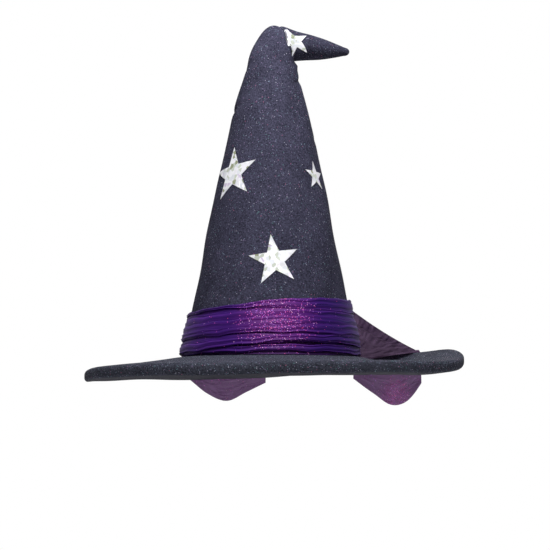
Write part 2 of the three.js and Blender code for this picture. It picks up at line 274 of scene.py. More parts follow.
def foam_material(name, dark, light, glitter_share):
    """Flocked foam: a mottled matt face with pinpoints of glitter."""
    material, tree, shader = new_material(name, {"Roughness": 0.88, "Specular IOR Level": 0.07, "IOR": 1.48})
    place = add(tree, "TexCoord").outputs["Object"]
    cloudy = add(tree, "TexNoise", {"Vector": place, "Scale": 45.0, "Detail": 3.0, "Roughness": 0.6})
    nap = add(tree, "TexNoise", {"Vector": place, "Scale": 640.0, "Detail": 2.0, "Roughness": 0.6})
    blend = add(tree, "Mix", {0: 0.22, 2: nap.outputs[0], 3: cloudy.outputs[0]})
    face = ramp(tree, blend.outputs[0], [(0.34, linear(dark)), (0.66, linear(light))])
    mask, hue = glitter_grains(tree, place, FOAM_GRAIN, glitter_share)
    sparkle = ramp(tree, hue, [(0.0, linear("#75869a")), (0.35, linear("#8a769c")), (0.62, linear("#a9a8ba")),
                               (0.8, linear("#5d8a89")), (0.92, linear("#a86080"))], "CONSTANT")
    tree.links.new(mix_colour(tree, mask, face, sparkle), shader.inputs["Base Color"])
    rough = add(tree, "MapRange", {"Value": mask, "To Min": 0.9, "To Max": 0.35})
    tree.links.new(rough.outputs[0], shader.inputs["Roughness"])
    pores = add(tree, "Bump", {"Strength": 0.55, "Distance": 0.0006, "Height": nap.outputs[0]})
    soft = add(tree, "Bump", {"Strength": 0.35, "Distance": 0.0022, "Height": cloudy.outputs[0],
                              "Normal": pores.outputs[0]})
    tree.links.new(soft.outputs[0], shader.inputs["Normal"])
    return material


foam_face = foam_material("glitter flocked foam", "#181823", "#3f3e50", 0.04)
brim_face = foam_material("glitter flocked foam, brim sheet", "#1b1c24", "#41434f", 0.085)
foam_cut = foam_material("bare cut foam", "#2a2a31", "#3b3b43", 0.0)
print("made", foam_face.name, brim_face.name, "and", foam_cut.name)

# %% [markdown]
# ## The crown
#
# The cone and its folded tip are one sheet, so they are one mesh: up the outside, over the rounded end of
# the tip, and back down the inside. Foam that is folded sharply pinches shut on the inner side of the
# bend and stays round on the outer side, so the crease is a groove that deepens away from the ridge, and
# the tip behind it is a little thinner, as it has been tucked in. Slow waves and a few shallow dents keep
# the cone from looking turned on a lathe.


# %% The crown's skin
SQUEEZE_FROM, SQUEEZE_TO = 0.320, 0.400  # between these distances up the cone, rows are squeezed
TIP_CAP = 0.007  # length of the tip's rounded end
HOLLOW_ENDS = 0.355  # where the inside of the cone closes, distance up it
# Shallow dents: bearing in degrees, distance up the cone, depth
DENTS = [(-172, 0.338, 0.0016), (-168, 0.291, 0.0022), (-12, 0.324, 0.0020), (20, 0.262, 0.0012)]


def from_ridge(bearing):
    """0 on the outer side of the bend, 1 on its inner side."""
    return (1 + np.cos(bearing - FOLD_BEARING)) / 2


def crease_line(bearing):
    """How far up the cone the crease is: highest on the ridge and lowest on the inner side."""
    wander = 0.0008 * np.sin(3 * bearing + 1.0)
    return CREASE_HIGH + (CREASE_LOW - CREASE_HIGH) * from_ridge(bearing) ** 2 + wander


def follow_crease(rows, bearing):
    """Rows that are level on the cone and square on the tip, squeezed between the two to run along the
    crease, so that its edge stays sharp."""
    line = crease_line(bearing)
    before = SQUEEZE_FROM + (rows - SQUEEZE_FROM) * (line - SQUEEZE_FROM) / (CREASE_HIGH - SQUEEZE_FROM)
    after = line + (rows - CREASE_HIGH) * (SQUEEZE_TO - line) / (SQUEEZE_TO - CREASE_HIGH)
    above = np.where(rows < SQUEEZE_TO, after, rows)
    return np.where(rows < SQUEEZE_FROM, rows, np.where(rows < CREASE_HIGH, before, above))


def crown_relief(bearing, along):
    """Height of the foam's face off the plain cone: slow waves, shallow dents, and at the crease a plump
    edge that rolls in, a deep groove, and a tip that comes out from under the edge."""
    waves = 0.0007 * np.sin(3 * bearing + along * 31) * np.sin(along * 47 + 1.3) * fade(along, 0.05, 0.12)
    waves += 0.0005 * np.sin(7 * bearing - along * 53 + 0.7)
    dents = 0
    for at, height, depth in DENTS:
        turn = (bearing - np.radians(at) + np.pi) % (2 * np.pi) - np.pi
        dents -= depth * bump_at(turn, 0, 0.45) * bump_at(along, height + 0.004 * np.sin(4 * turn), 0.0035)
    side = 0.45 + 0.55 * fade(from_ridge(bearing), 0.0, 0.25)
    past = along - crease_line(bearing)
    roll = -0.0030 * side * bump_at(past, 0, 0.0018)
    plump = 0.0022 * bump_at(past, -0.006, 0.0065) + 0.0036 * (1 - side) / 0.55 * bump_at(past, 0.0015, 0.0068)
    tucked = -0.0052 * side * fade(past, 0, 0.0012) * (1 - fade(past, 0.008, 0.040))
    groove = -0.0055 * side * bump_at(past, 0.0014, 0.0016)
    return waves * (1 - fade(along, 0.36, 0.40)) + dents + roll + plump + tucked + groove


def bare_foam_past(piece, row, rows):
    """Gives the faces from one row of the grid on the second material, by the map that the grid wrote."""
    mesh = piece.data
    uv = np.zeros(len(mesh.loops) * 2, np.float32)
    mesh.uv_layers["cloth"].data.foreach_get("uv", uv)
    starts = np.zeros(len(mesh.polygons), np.int32)
    mesh.polygons.foreach_get("loop_start", starts)
    mesh.polygons.foreach_set("material_index", (uv[1::2][starts] > row / rows).astype(np.int32))


def crown_skin():
    """Rows up the outside, close together at the crease, then the tip's rounded end, a point where the
    hollow closes, and rows back down the inside."""
    around = np.linspace(-np.pi, np.pi, 200, endpoint=False)
    cap = TIP_LENGTH - TIP_CAP
    rows = np.concatenate([
        np.linspace(BASE, SQUEEZE_FROM, 140, endpoint=False),
        np.linspace(SQUEEZE_FROM, 0.366, 30, endpoint=False),
        np.linspace(0.366, CREASE_HIGH - 0.0002, 16, endpoint=False),
        np.linspace(CREASE_HIGH - 0.0002, CREASE_HIGH + 0.003, 16, endpoint=False),
        np.linspace(CREASE_HIGH + 0.003, SQUEEZE_TO, 22, endpoint=False),
        np.linspace(SQUEEZE_TO, cap, 34, endpoint=False)])
    rows, bearing = np.meshgrid(rows, around, indexing="ij")
    along = follow_crease(rows, bearing)
    outside = on_crown(bearing, along, crown_relief(bearing, along))
    round_end = np.linspace(0, np.pi / 2, 9)[:, None]
    shrink = cone_radius(cap) * np.cos(round_end) - cone_radius(cap + TIP_CAP * np.sin(round_end))
    end = on_crown(around[None], cap + TIP_CAP * np.sin(round_end), shrink)
    down = np.concatenate([
        np.linspace(HOLLOW_ENDS - 0.004, 0.30, 14, endpoint=False),
        np.linspace(0.30, BASE, 70)])
    along, bearing = np.meshgrid(down, around, indexing="ij")
    pinch = -0.004 * fade(along, 0.32, HOLLOW_ENDS)
    inside = on_crown(bearing, along, -FOAM + pinch)
    middle = on_crown(0.0, HOLLOW_ENDS, -cone_radius(HOLLOW_ENDS))
    shut = np.repeat(middle[None, None], len(around), axis=1)
    corners = np.concatenate([outside, end, shut, inside])
    piece = grid_mesh("crown_foam", corners, around=True, along=True, scale=(1 / 200, 1 / len(corners)))
    piece.data.materials.append(foam_face)
    piece.data.materials.append(foam_cut)
    bare_foam_past(piece, len(outside) + len(end) - 0.5, len(corners))
    return piece


crown = crown_skin()
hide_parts("crown_cone", "crown_tip")
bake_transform(crown)
print("crown:", len(crown.data.polygons), "faces")

# %% [markdown]
# ## The brim
#
# A ring of the same foam. It is flat where the cone is glued to it, sags towards the rim, hangs lowest on
# the left and curls up on the right, as foam does once it has been packed. Its section is a rectangle
# with rounded corners, carried round the hat.


# %% The brim's shape
BRIM_RADIUS = 0.2105
BRIM_FLAT = 0.1015
HOLE_RADIUS = 0.098 - FOAM


def rim_height(a):
    """Height of the rim's underside: low on the left, curled up on the right and a little behind it."""
    heights = [-14.5, -11.4, -8.5, -6.5, -2.5, 6, 13, 10, 0, -7, -11.4]
    return round_the_hat(a, [-180, -135, -90, -45, -20, 0, 18, 40, 65, 90, 135], np.array(heights) / 1000)


def brim_height(a, t):
    """Height of the brim's underside a share t of the way out from the crown."""
    return rim_height(a) * t ** (2 + np.cos(a)) - 0.001 * (4 + 3.3 * np.cos(a)) * np.sin(np.pi * t)


def on_brim(bearing, radius, above=0.0):
    """The point at a bearing and a plain radius on the brim, and a height above its underside."""
    share = np.maximum(0, (radius - BRIM_FLAT) / (BRIM_RADIUS - BRIM_FLAT))
    t = np.minimum(share, 1)
    extra = 0.012 + (0.0035 - 0.012) * t
    x = radius * np.cos(bearing) + 0.004 * share
    y = (radius + extra) * np.sin(bearing)
    return np.stack(np.broadcast_arrays(x, y, brim_height(bearing, t) + above), axis=-1)


def brim_skin():
    """The section's outline, out along the underside, round the edge and back along the top, carried
    round the hat. The rim wavers a little, as cut foam does."""
    around = np.linspace(-np.pi, np.pi, 240, endpoint=False)
    corner = np.linspace(0, np.pi / 2, 7)
    soft = 0.0046
    flat_out = np.linspace(HOLE_RADIUS, BRIM_RADIUS - soft, 62)
    lower = np.stack([BRIM_RADIUS - soft + soft * np.sin(corner), soft - soft * np.cos(corner)])
    upper = np.stack([BRIM_RADIUS - soft + soft * np.cos(corner), FOAM - soft + soft * np.sin(corner)])
    bottom = np.stack([flat_out, 0 * flat_out])
    top = np.stack([flat_out[::-1], 0 * flat_out + FOAM])
    radius, above = np.concatenate([bottom, lower[:, 1:], upper, top[:, 1:]], axis=1)
    radius, above, bearing = radius[:, None], above[:, None], around[None]
    out = fade(radius, 0.12, BRIM_RADIUS)
    above = above + out * 0.0006 * np.sin(5 * bearing + 1.1) + out * 0.0004 * np.sin(11 * bearing + radius * 90)
    radius = radius + fade(radius, 0.19, BRIM_RADIUS) * 0.0006 * np.sin(9 * bearing + 0.4)
    rows = len(radius)
    piece = grid_mesh("brim_foam", on_brim(bearing, radius, above), around=True, along=True, flip=True,
                      scale=(1 / 240, -1 / rows))
    piece.data.materials.append(brim_face)
    piece.data.materials.append(foam_cut)
    bare_foam_past(piece, -(len(flat_out) + 1), rows)
    return piece


brim = brim_skin()
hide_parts("brim")
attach(brim, "hat")
print("brim:", len(brim.data.polygons), "faces,", "rim from", rim_height(np.pi), "to", rim_height(0.0))

# %% [markdown]
# ## Organza
#
# Organza is a plain weave of fine, stiff yarn, so sheer that it takes its depth from how many layers lie
# on each other: a single layer is a dark plum over the foam, and gathered layers turn violet. Each fold
# is real geometry that lets a little light through, tinted by the dyed yarn. The shader mixes the cloth
# with that tinted gap, and adds a thread pattern far coarser than the real 0.2 mm one, and grains of pink
# glitter that crowd together in one place on the band and in one corner of the tail. Around those same
# places the cloth is painted lighter and more magenta, a painted highlight where the lamps fall on it. The
# tails have their own greyer, lighter mauve copy of the cloth: painted backlit shade, the same organza as
# it looks in the shade behind the cone with light coming through it.


# %% Organza material
def organza_material(name, shade, bright, cover, middle, glitter, painted_highlight_colour, dye="#c898cc"):
    """Sheer glitter organza: cover is how much of what is behind it one layer hides, and dye is the tint
    of the light that comes through it, since the yarn is dyed through. middle is where the
    glitter is thickest, and glitter is the share of grains that shine, as (there, far from there, how far
    in metres). Around middle the cloth is also painted towards the highlight colour: a painted highlight,
    where the lamps fall on it."""
    material, tree, shader = new_material(name, {
        "Roughness": 0.5, "Specular IOR Level": 0.10, "IOR": 1.55,
        "Sheen Weight": 0.05, "Sheen Roughness": 0.35})
    shader.inputs["Sheen Tint"].default_value = linear("#b48ae0")
    coordinates = add(tree, "TexCoord")
    place, uv = coordinates.outputs["Object"], coordinates.outputs["UV"]
    stretch = add(tree, "Mapping", {"Vector": uv, "Scale": (1.0, 10.0, 1.0)})
    streaks = add(tree, "TexNoise", {
        "Vector": stretch.outputs[0], "Scale": 4.0, "Detail": 4.0, "Roughness": 0.6})
    cloth = ramp(tree, streaks.outputs[0], [(0.34, linear(shade)), (0.66, linear(bright))])
    away = add(tree, "VectorMath", {0: place, 1: middle}, operation="DISTANCE")
    near = add(tree, "MapRange", {"Value": away.outputs["Value"], "From Min": 0.010, "From Max": glitter[2],
                                  "To Min": 1.0, "To Max": 0.0}, interpolation_type="SMOOTHSTEP")
    share = add(tree, "MapRange", {"Value": near.outputs[0], "To Min": glitter[1], "To Max": glitter[0]})
    mask, hue = glitter_grains(tree, place, CLOTH_GRAIN, share.outputs[0])
    pink = ramp(tree, hue, [(0.0, linear("#d862c4")), (0.4, linear("#b070dc")), (0.68, linear("#f0aee8")),
                            (0.86, linear("#dc5088"))], "CONSTANT")
    # Painted highlight: around middle the cloth is painted towards the highlight colour.
    highlight_share = add(tree, "Math", {0: near.outputs[0], 1: 0.66}, operation="MULTIPLY")
    highlighted_cloth = mix_colour(tree, highlight_share.outputs[0], cloth, linear(painted_highlight_colour))
    tree.links.new(mix_colour(tree, mask, highlighted_cloth, pink), shader.inputs["Base Color"])
    weave = add(tree, "TexWave", {"Vector": uv, "Scale": 60.0, "Distortion": 0.6}, bands_direction="Y")
    density = add(tree, "MapRange", {"Value": streaks.outputs[0], "From Min": 0.3, "From Max": 0.7,
                                     "To Min": cover - 0.12, "To Max": min(1.0, cover + 0.12)})
    alpha = add(tree, "Math", {0: density.outputs[0], 1: mask}, operation="MAXIMUM")
    through = add(tree, "BsdfTransparent", {"Color": linear(dye)})
    cloth_shader = add(tree, "MixShader", {0: alpha.outputs[0], 1: through.outputs[0], 2: shader.outputs[0]})
    output = next(node for node in tree.nodes if node.type == "OUTPUT_MATERIAL")
    tree.links.new(cloth_shader.outputs[0], output.inputs["Surface"])
    ridges = add(tree, "Bump", {"Strength": 0.4, "Distance": 0.0010, "Height": streaks.outputs[0]})
    threads = add(tree, "Bump", {"Strength": 0.12, "Distance": 0.0002, "Height": weave.outputs[0],
                                 "Normal": ridges.outputs[0]})
    tree.links.new(threads.outputs[0], shader.inputs["Normal"])
    return material


FRONT, CORNER = (0.006, -0.102, 0.052), (0.158, 0.158, -0.034)
# The colour after each glitter setting is the painted highlight around FRONT or CORNER.
organza_band = organza_material(
    "gathered glitter organza", "#1c054c", "#471a74", 0.88, FRONT, (0.27, 0.010, 0.056), "#652172")
organza_under = organza_material(
    "single layer of organza", "#1e0a3c", "#3c1858", 0.62, FRONT, (0.12, 0.014, 0.080), "#5a2470")
# The tails' cloth is a greyer, lighter mauve copy of the band's: painted backlit shade, the same organza as it
# looks behind the cone with light through it.
organza_tail_backlit_shade = organza_material(
    "loose organza, painted backlit shade", "#4a2e58", "#6c4876", 0.90, CORNER, (0.55, 0.024, 0.034), "#8c4286", dye="#b896c2")
print("made", organza_band.name, organza_under.name, organza_tail_backlit_shade.name)

# %% [markdown]
# ## The scarf's two turns
#
# A strip of organza, gathered in the hand and wound round the cone, lies in long soft ribbons that cross
# each other at a flat angle. Each turn here is a base layer and the ribbons that fold over it. A ribbon has
# a lower and an upper edge that wander with the bearing, a broad, softly crimped face, and both edges
# turned back under, so it is two layers thick there. Its rows run round the hat, and its section goes
# under, over the fold, across the face, over the other fold and under again.


# %% Ribbons and layers round the crown
ROUND_STEPS, LAYER_STEPS, RIBBON_STEPS = 288, 36, 26  # round the hat, up a layer and across a ribbon


def ribbon(low, high, off, swell, phase):
    """A flattened loop of cloth round the hat, from the height low to high of each bearing. Across it
    runs an angle: the face is where its sine is positive, and it lies off metres off the foam at its
    edges, plus swell on the face, which rises fast at the edges and is nearly flat between. Small waves
    run along it, and the face is crimped."""
    around = np.linspace(-np.pi, np.pi, ROUND_STEPS, endpoint=False)
    across = np.linspace(-0.30 * np.pi, 1.30 * np.pi, RIBBON_STEPS)[:, None]
    bearing = around[None]
    bottom, top = low(bearing), high(bearing)
    half = (top - bottom) / 2
    wave = 0.0005 * np.sin(9 * bearing + phase) + 0.0004 * np.sin(17 * bearing + 2 * phase)
    height = (top + bottom) / 2 - half * np.sign(np.cos(across)) * np.abs(np.cos(across)) ** 0.7 + wave
    face = np.maximum(np.sin(across), 0)
    crimp = 0.00045 * np.sin(7 * np.cos(across) + 2 * bearing + phase)
    crimp = crimp + 0.00025 * np.sin(15 * np.cos(across) - 3 * bearing)
    domed = np.sign(np.sin(across)) * np.abs(np.sin(across)) ** 0.6
    lift = off + np.minimum(swell, 0.9 * half) * domed + crimp * face
    return on_crown(bearing, height, np.maximum(lift, 0.0006))


def layer(low, high, off, phase):
    """One sheer layer against the foam, with long shallow wrinkles that run a little uphill."""
    around = np.linspace(-np.pi, np.pi, ROUND_STEPS, endpoint=False)
    share = np.linspace(0, 1, LAYER_STEPS)[:, None]
    bearing = around[None]
    height = low(bearing) + (high(bearing) - low(bearing)) * share
    wrinkle = 0.0006 * np.sin(26 * share + 1.7 * np.sin(2 * bearing + phase) + 2 * bearing)
    return on_crown(bearing, height, off + wrinkle)


def edge(at_degrees, heights_mm):
    """A height in millimetres at a few bearings, made a smooth function round the hat."""
    return lambda bearing: round_the_hat(bearing, at_degrees, np.array(heights_mm) / 1000)


BEARINGS = [-165, -145, -125, -107, -90, -70, -45, -20, 20, 62, 110, 150]
scarf_foot = edge([0], [13.4])
scarf_split = edge(BEARINGS, [36, 37, 38, 40, 41, 41, 40, 40, 42, 42, 40, 37])
scarf_head = edge(BEARINGS, [61, 63, 65, 66.5, 69.5, 72, 73.5, 75, 75.5, 72, 66, 62])
UPPER_RIBBONS = [
    # lower edge and upper edge in millimetres at each of BEARINGS, metres off the foam, swell of the face
    ([45, 47, 49, 51, 52, 53, 54, 54, 54, 50, 46, 44],
     [60.5, 62.5, 64.5, 67, 70.5, 72.5, 74, 75, 75.5, 72, 65, 61], 0.0018, 0.0014),
    ([41, 42, 43, 44, 45, 46, 46, 46, 46, 43, 41, 40],
     [56, 57, 58, 60, 61, 62, 61, 60, 59, 57, 55, 55], 0.0030, 0.0013),
    ([57, 59, 61, 62, 62.5, 61, 60, 60, 61, 57, 56, 57],
     [60.5, 62.5, 64.5, 67, 70.5, 72.5, 74, 75, 75.5, 72, 65, 61], 0.0036, 0.0010),
    ([33, 34, 36, 38, 40, 42, 42.5, 42, 41, 38, 35, 33],
     [46, 47, 49, 51, 53, 54, 54, 53.5, 53, 51, 48, 46], 0.0040, 0.0012),
    ([30, 31.5, 33.5, 35.5, 36, 36, 35, 34, 33, 33, 32, 31],
     [38, 39, 41, 43.5, 45, 45.5, 46, 47, 48, 46, 41, 38], 0.0044, 0.0012),
]
LOWER_RIBBONS = [
    ([21, 22, 23, 24, 25, 26, 26, 25, 25, 28, 25, 21],
     [33, 34, 36, 37.5, 38.5, 38.5, 38, 38, 39, 39, 37, 34], 0.0026, 0.0015),
    ([16, 17, 20, 23, 26, 27, 26, 24, 22, 22, 20, 17],
     [27, 28, 29.5, 31, 33, 34, 35, 36, 37, 37, 32, 29], 0.0038, 0.0012),
    ([14.2, 14.4, 15, 16, 17, 17, 16, 14.8, 14.4, 15, 14.6, 14.2],
     [22, 22, 22.5, 23, 23.5, 24, 24, 24.5, 25, 26, 24, 22], 0.0022, 0.0010),
]


def scarf_turn(name, foot, head, ribbons, nodes):
    """One turn of the scarf as one piece: its base layer and its ribbons."""
    base = layer(foot, head, 0.0013, 0.4)
    parts = [grid_mesh(name, base, around=True, scale=(1 / ROUND_STEPS, 1 / LAYER_STEPS))]
    for number, (low, high, off, swell) in enumerate(ribbons):
        corners = ribbon(edge(BEARINGS, low), edge(BEARINGS, high), off, swell, 1.3 * number)
        scale = (1 / ROUND_STEPS, 0.35 / RIBBON_STEPS)
        parts.append(grid_mesh(f"{name}_{number}", corners, around=True, scale=scale))
    joined = bmesh.new()
    for part in parts:
        joined.from_mesh(part.data)
    joined.to_mesh(parts[0].data)
    joined.free()
    for part in parts[1:]:
        bpy.data.objects.remove(part)
    parts[0].data.materials.append(organza_under)
    parts[0].data.materials.append(organza_band)
    base_faces = ROUND_STEPS * (LAYER_STEPS - 1)
    index = (np.arange(len(parts[0].data.polygons)) >= base_faces).astype(np.int32)
    parts[0].data.polygons.foreach_set("material_index", index)
    parts[0].data.shade_smooth()
    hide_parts(nodes)
    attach(parts[0], "hat")
    area = sum(face.area for face in parts[0].data.polygons)
    print(name, "has", len(parts[0].data.polygons), "faces and", round(area, 4), "square metres of cloth")
    return parts[0]


upper_turn = scarf_turn("scarf_upper_cloth", scarf_split, scarf_head, UPPER_RIBBONS, "scarf_upper_turn")
lower_turn = scarf_turn("scarf_lower_cloth", scarf_foot, scarf_split, LOWER_RIBBONS, "scarf_lower_turn")

# %% [markdown]
# ## The knot and the tails
#
# Behind, on the right, the two ends are tied once. The knot is a lump of cloth drawn tight, with folds
# that run over it from one end to the other. Each tail leaves it in narrow gathers, fans out over the
# brim and hangs past the rim in its cut corner. It is one sheet, so it is one grid: u runs across it and
# v down it. Where the cloth comes over the rim it turns to hang.


# %% The tails
KNOT_BEARING = np.radians(66)
ROOT_OFF = 0.012  # the cloth stands this far off the cone where it leaves the band
RIM_IN = 0.004  # it starts to turn over this far inside the rim
RIM_ABOVE = 0.0022  # it lies this far over the brim there
TURN_RADIUS = 0.0062  # and turns over the edge with this radius
TAIL_STEPS = 90
# Each pair runs from one side of the tail to the other: bearings in degrees at the knot, the root and the
# rim, heights in millimetres at the knot ("neck") and the root ("height"), and the sag in millimetres.
# "hang" is where the bottom edge is, in millimetres, at five even places across.
TAILS = {
    "right": {"knot": (61, 62), "neck": (54, 37), "root": (29, 52), "height": (75, 24), "rim": (34, 62),
              "sag": (4, 0), "hang": [-15, -38, -41, -27, -9]},
    "left": {"knot": (70, 71), "neck": (37, 54), "root": (80, 101), "height": (24, 64), "rim": (93, 120),
             "sag": (0, 4), "hang": [-14, -26, -37, -28, -11]},
}


def tail_sheet(side):
    """Rows go down the tail: out of the knot and round the band, then across to the rim, then over the
    rim's edge and down. The gathers are waves across it, tight at the knot and open towards the rim."""
    tail = TAILS[side]
    u = np.linspace(0, 1, TAIL_STEPS)[None]
    bearing = np.radians(np.interp(u, (0, 1), tail["rim"]))
    root = np.radians(np.interp(u, (0, 1), tail["root"]))
    root_height = np.interp(u, (0, 1), tail["height"]) / 1000
    start = on_crown(root, root_height, ROOT_OFF)
    s = np.linspace(0, 1, 30, endpoint=False)[:, None]
    turned = np.radians(np.interp(u, (0, 1), tail["knot"])) * (1 - s) + root * s
    neck_height = np.interp(u, (0, 1), tail["neck"]) / 1000 * (1 - s) + root_height * s
    neck = on_crown(turned, neck_height, 0.0155 - 0.0035 * s)
    rim = on_brim(bearing, BRIM_RADIUS - RIM_IN, FOAM + RIM_ABOVE)
    v = np.linspace(0, 1, TAIL_STEPS)[:, None, None]
    lying = start + (rim - start) * v
    lying[..., 2] -= np.interp(u, (0, 1), tail["sag"]) / 1000 * np.sin(np.pi * v[..., 0])
    turn = np.linspace(0, np.pi / 2, 8)[1:, None]
    out = BRIM_RADIUS - RIM_IN + TURN_RADIUS * np.sin(turn)
    over = on_brim(bearing, out, FOAM + RIM_ABOVE - TURN_RADIUS * (1 - np.cos(turn)))
    edge_point = over[-1]
    bottom = smooth_steps(u[0], np.linspace(0, 1, 5), np.array(tail["hang"]) / 1000)
    w = np.linspace(0, 1, 34)[1:, None, None]
    hanging = np.repeat(edge_point[None], len(w), axis=0)
    hanging[..., 2] += (bottom - edge_point[:, 2]) * w[..., 0]
    sheet = np.concatenate([neck, lying, over, hanging])
    # Where the neck turns out over the brim, the corner is worn round
    bend, before, after = slice(12, 54), slice(11, 53), slice(13, 55)
    for _ in range(60):
        sheet[bend] += 0.5 * ((sheet[before] + sheet[after]) / 2 - sheet[bend])
    rows = np.linspace(-0.23, 1, len(sheet))[:, None]
    opening_out = (1 - fade(rows, 0.1, 0.75)) * fade(rows, -0.23, -0.12)
    gathers = 0.0026 * np.sin(2 * np.pi * 4.5 * u + 2 * rows) * opening_out
    drape = 0.0016 * np.sin(2 * np.pi * 1.6 * u + 1.0) * fade(rows, 0.75, 1.0)
    across = np.gradient(sheet, axis=1)
    down = np.gradient(sheet, axis=0)
    normal = np.cross(down, across)
    normal /= np.linalg.norm(normal, axis=-1, keepdims=True)
    return sheet + normal * (gathers + drape)[..., None]


def tail_piece(side):
    corners = tail_sheet(side)
    piece = grid_mesh(f"scarf_tail_{side}_cloth", corners, scale=(1 / TAIL_STEPS, 1 / len(corners)))
    piece.data.materials.append(organza_tail_backlit_shade)
    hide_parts(f"scarf_tail_{side}", f"scarf_tail_{side}_end")
    area = sum(face.area for face in piece.data.polygons)
    print(piece.name, round(area, 5), "square metres")
    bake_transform(piece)
    return piece


tail_right = tail_piece("right")
tail_left = tail_piece("left")


# %% The knot
def knot_skin():
    """An egg drawn tight: its radius swells and dips in folds that run over it from left to right."""
    low, high = (np.array(corner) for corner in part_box("scarf_knot"))
    middle = (low + high) / 2
    pole = np.linspace(0, np.pi, 60)[:, None]
    spin = np.linspace(-np.pi, np.pi, 120, endpoint=False)[None]
    folds = 0.055 * np.sin(7 * spin + 2.5 * np.cos(pole)) + 0.03 * np.sin(13 * spin - 4 * np.cos(pole))
    size = 1 + folds * np.sin(pole) - 0.10 * bump_at(np.cos(pole), 0.0, 0.35)
    sine = np.sin(pole)
    unit = np.stack([np.cos(pole) * np.ones_like(spin), sine * np.cos(spin), sine * np.sin(spin)], axis=-1)
    egg = unit * size[..., None] * (0.0175, 0.0105, 0.0140)
    turn = KNOT_BEARING - np.pi / 2
    x = egg[..., 0] * np.cos(turn) - egg[..., 1] * np.sin(turn)
    y = egg[..., 0] * np.sin(turn) + egg[..., 1] * np.cos(turn)
    corners = np.stack([x, y, egg[..., 2]], axis=-1) + middle
    return grid_mesh("scarf_knot_cloth", corners, around=True, flip=True)


knot = knot_skin()
knot.data.materials.append(organza_band)
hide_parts("scarf_knot")
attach(knot, "hat")

# %% [markdown]
# ## Foil stars
#
# The stars are die-cut from adhesive vinyl with a cracked-glass hologram: flat chips a few millimetres
# across, each tilted a little differently, so that one is white, the next silver and the next pale green
# or olive. Cells of a Voronoi pattern are the chips. Each has its own tint, and its own slope through the
# bump. The tint is partly the hologram's own hue and partly painted reflection: white and silver chips
# are painted as if catching the light, olive ones as if turned away from it. The shader is three quarters
# metal.


# %% Hologram foil material
def foil_material():
    material, tree, shader = new_material("cracked glass hologram vinyl", {"Metallic": 0.75, "Roughness": 0.28})
    place = add(tree, "TexCoord").outputs["Object"]
    chips = add(tree, "TexVoronoi", {"Vector": place, "Scale": 1 / 0.0042, "Randomness": 1.0})
    parts = add(tree, "SeparateColor", {"Color": chips.outputs["Color"]})
    # Painted reflection: besides the hologram's own hues, each chip is painted lighter or darker as if its tilt
    # caught or missed the light.
    hue_and_painted_reflection = ramp(tree, parts.outputs["Red"],
                [(0.0, linear("#f8f8fd")), (0.34, linear("#e9ecf2")), (0.55, linear("#faf8ff")),
                 (0.74, linear("#d2d8cc")), (0.90, linear("#a0a68a")), (0.955, linear("#e2d6ee"))], "CONSTANT")
    tree.links.new(hue_and_painted_reflection, shader.inputs["Base Color"])
    gradient = add(tree, "VectorMath", {0: place, 1: chips.outputs["Color"]}, operation="DOT_PRODUCT")
    tilt = add(tree, "Bump", {"Strength": 0.4, "Distance": 0.6, "Height": gradient.outputs["Value"]})
    tree.links.new(tilt.outputs[0], shader.inputs["Normal"])
    return material


foil = foil_material()

# %% [markdown]
# A star is a fan of rows from its middle to its outline. The outline's reach at an angle is that of the
# straight line between a point and the inner corner beside it. The flat star is then laid on the cone,
# half a millimetre thick.

# %% Stars
STARS = {
    "star_front_low": (-87, 0.114, 0.0285, 8),
    "star_front_left": (-134, 0.213, 0.031, 8),
    "star_front_right": (-35, 0.212, 0.0168, 0),
    "star_back_left": (140, 0.268, 0.025, 5),
    "star_back_right": (30, 0.240, 0.023, -10),
    "star_back_low": (105, 0.150, 0.029, 12),
}


def star_outline(size, turn, steps=24):
    """x and y of a five-pointed star, from the middle out: rows are shares of the reach."""
    point = np.radians(90 + turn + 36 * np.arange(11))
    reach = np.where(np.arange(11) % 2, 0.39, 1.0) * size
    tips = np.stack([reach * np.cos(point), reach * np.sin(point)], axis=-1)
    part = np.arange(10 * steps) / steps
    i = part.astype(int)
    rim = tips[i] + (tips[i + 1] - tips[i]) * (part - i)[:, None]
    share = np.linspace(0, 1, 20)[:, None, None]
    return share * rim[None]


def star_piece(name, bearing, along, size, turn):
    flat = star_outline(size, turn)
    radius = cone_radius(np.array(along))
    around = np.radians(bearing) + flat[..., 0] / radius
    up = along + flat[..., 1]
    if along > FOLD_HEIGHT:
        up = np.maximum(up, crease_line(around) + 0.0022)
    relief = crown_relief(around, up)
    front = on_crown(around, up, relief + 0.00075)
    back = on_crown(around, up, relief + 0.0003)
    piece = grid_mesh(name + "_foil", np.concatenate([front, back[::-1]]), around=True)
    piece.data.materials.append(foil)
    piece.data.set_sharp_from_angle(angle=np.radians(50))
    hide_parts(name)
    return piece


for name, (bearing, along, size, turn) in STARS.items():
    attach(star_piece(name, bearing, along, size, turn), "hat")
tip_star = star_piece("star_tip", -62, 0.382, 0.0235, -38)
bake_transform(tip_star)

# %% [markdown]
# ## Lining
#
# What a buyer sees on turning the hat over: a knitted band glued inside the opening, tape over the back
# seam and a small blank label stitched to the band.


